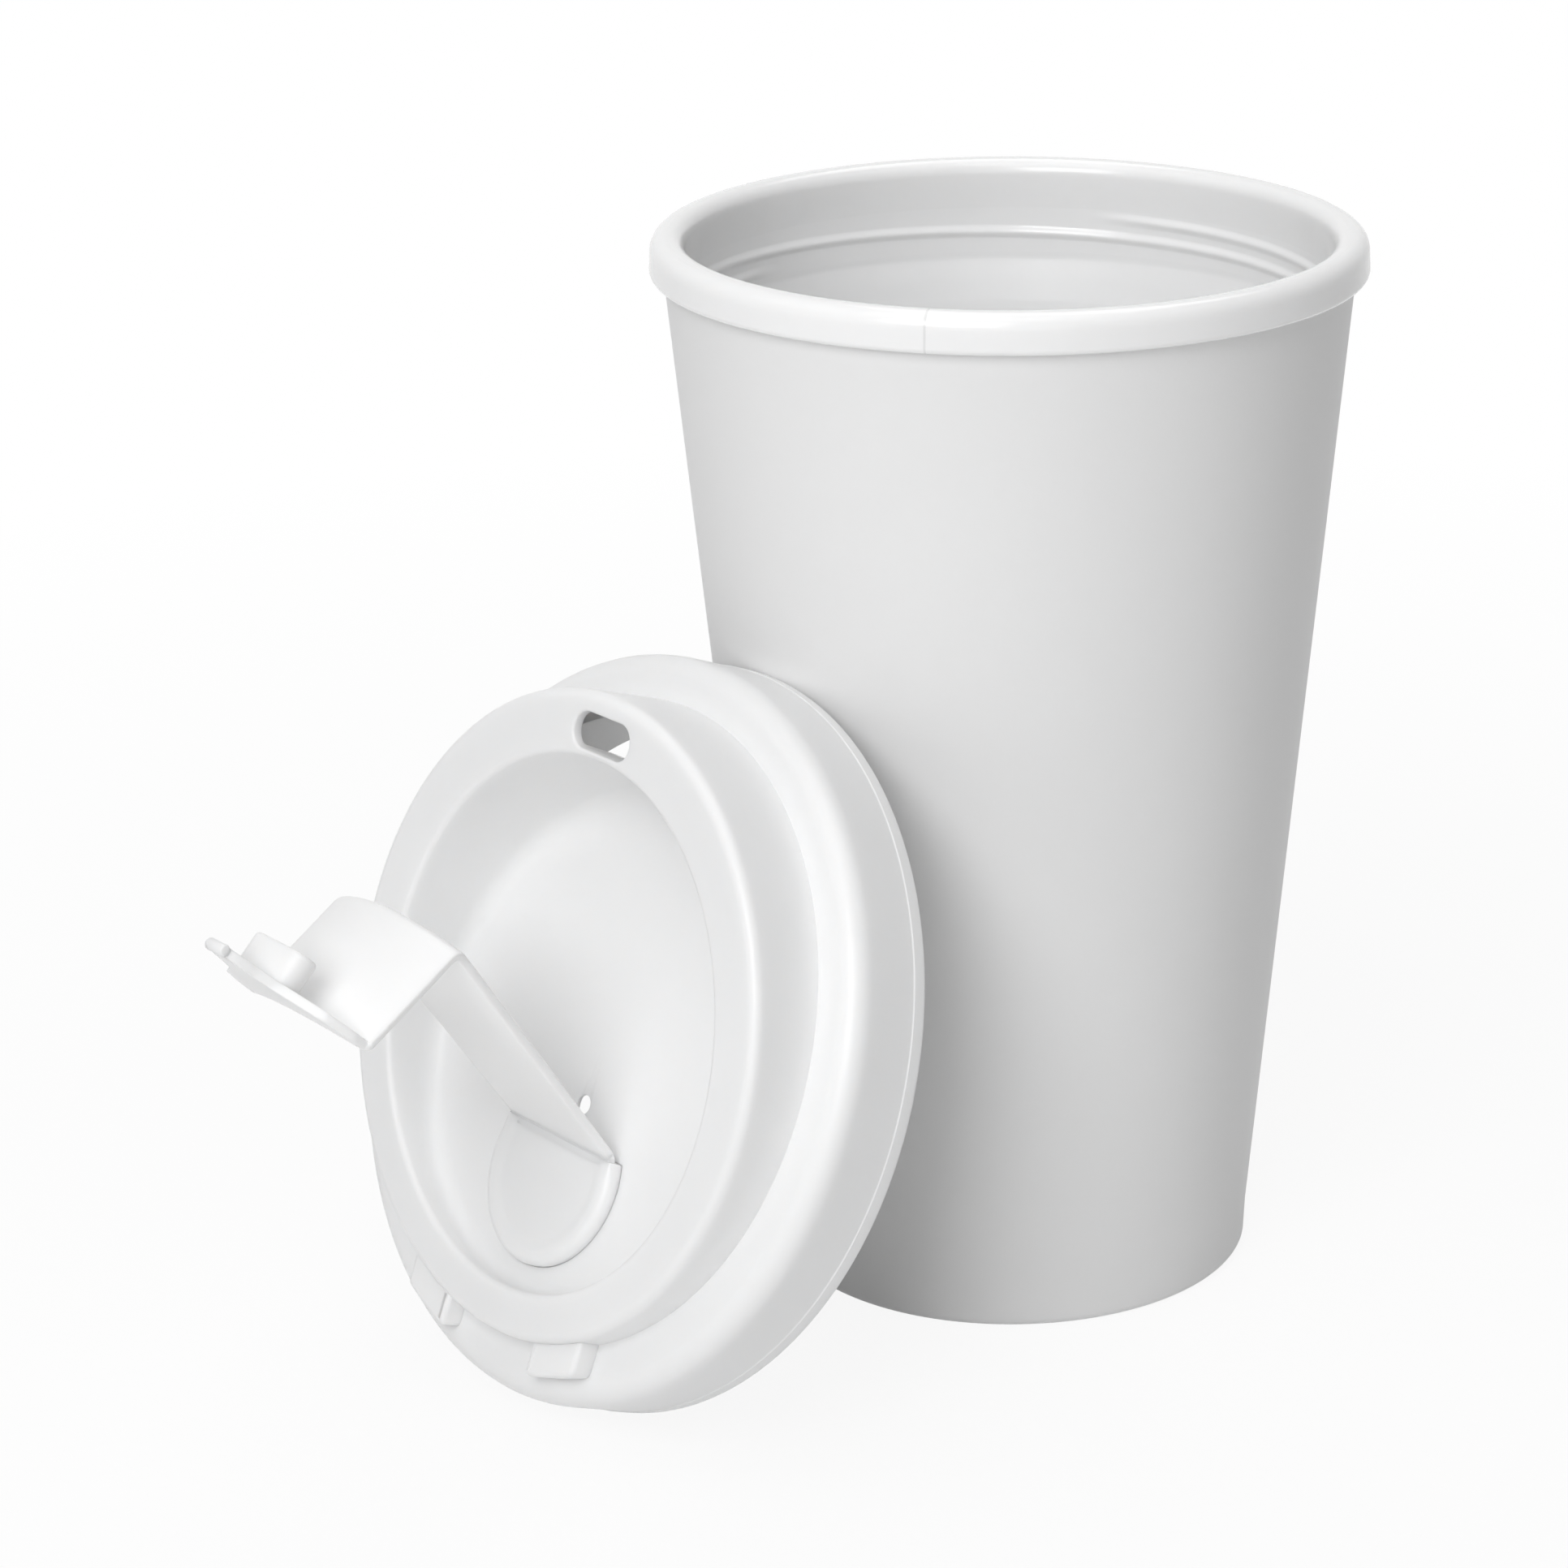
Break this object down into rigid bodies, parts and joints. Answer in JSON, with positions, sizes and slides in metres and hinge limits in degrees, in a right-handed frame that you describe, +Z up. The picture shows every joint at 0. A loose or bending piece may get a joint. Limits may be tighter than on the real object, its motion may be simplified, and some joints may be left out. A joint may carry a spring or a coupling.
{
  "type": "reusable double-wall coffee cup with sip lid",
  "caption": "Tall tapered double-wall cup with a rounded lip, and its sip lid leaning against it with the drinking flap half open.",
  "frame": {"origin": "centre of the cup's foot ring, on the table", "axes": "+Z up along the cup's axis, -Y towards the leaning lid, +X along the flap's hinge line"},
  "size_m": [0.0934, 0.1664, 0.1375],
  "materials": {
    "outer_wall": "satin white",
    "liner": "gloss white",
    "lid": "satin white"
  },
  "bodies": {
    "cup": {"outer_cup": "outer_wall", "inner_cup": "liner", "lid": "lid", "flap_base": "lid"},
    "flap": {"flap": "lid"}
  },
  "joints": [
    {"name": "flap_hinge", "type": "hinge", "parent": "cup", "child": "flap", "pos_m": [0, -0.07332, 0.03433], "axis": [1, 0, 0], "range_deg": [-60.6, 108]}
  ]
}
